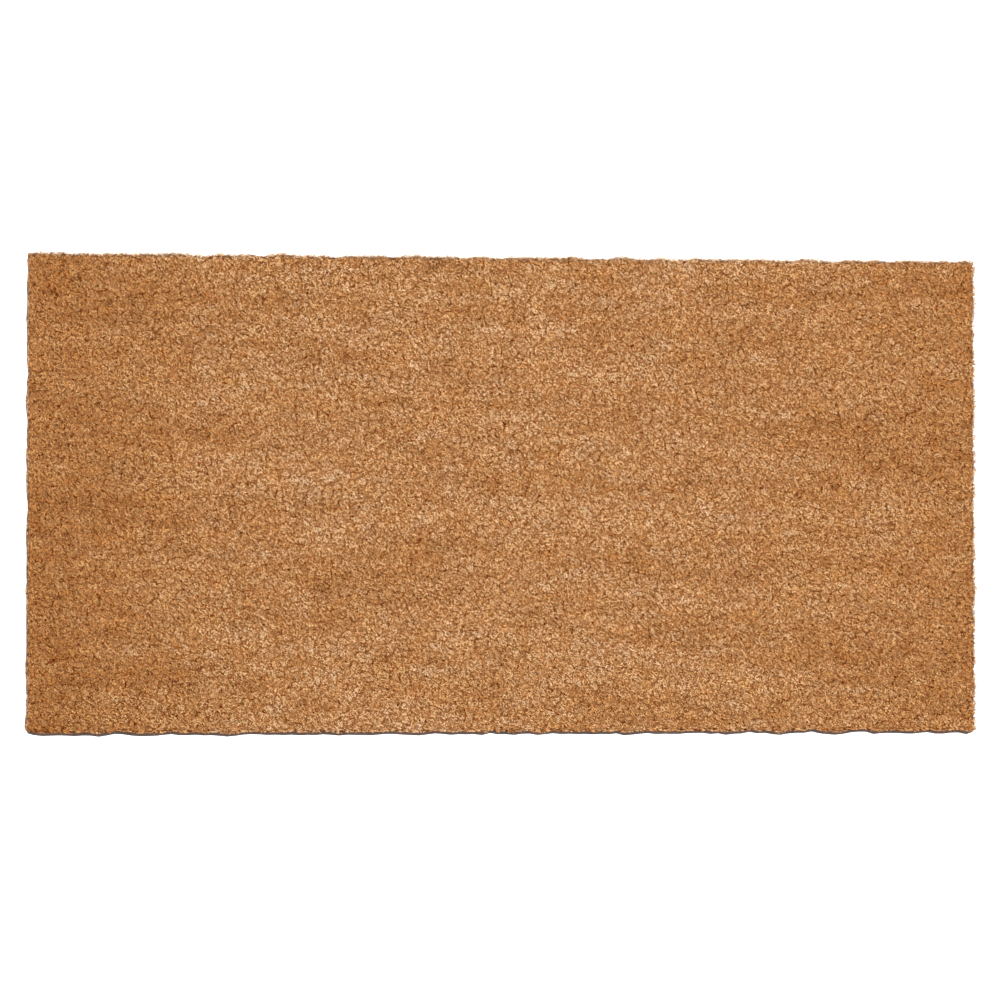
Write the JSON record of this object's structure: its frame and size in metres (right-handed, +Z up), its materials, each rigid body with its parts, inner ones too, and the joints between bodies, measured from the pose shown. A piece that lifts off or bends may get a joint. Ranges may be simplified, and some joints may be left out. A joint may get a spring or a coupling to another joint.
{
  "type": "door mat",
  "caption": "Rectangular door mat: upright cut coir tufts set in rows in a flat flexible PVC backing, for wiping shoes at a door.",
  "frame": {"origin": "middle of the flat underside, where the mat rests on the ground", "axes": "+X along the long side, +Y along the short side, +Z up out of the pile"},
  "size_m": [0.9, 0.45, 0.015],
  "materials": {
    "pvc": "matt dark plasticised PVC",
    "coir": "natural undyed coconut fibre, cut ends up"
  },
  "bodies": {
    "root": {"pvc_backing": "pvc", "coir_tuft_rows": "coir"}
  },
  "joints": []
}
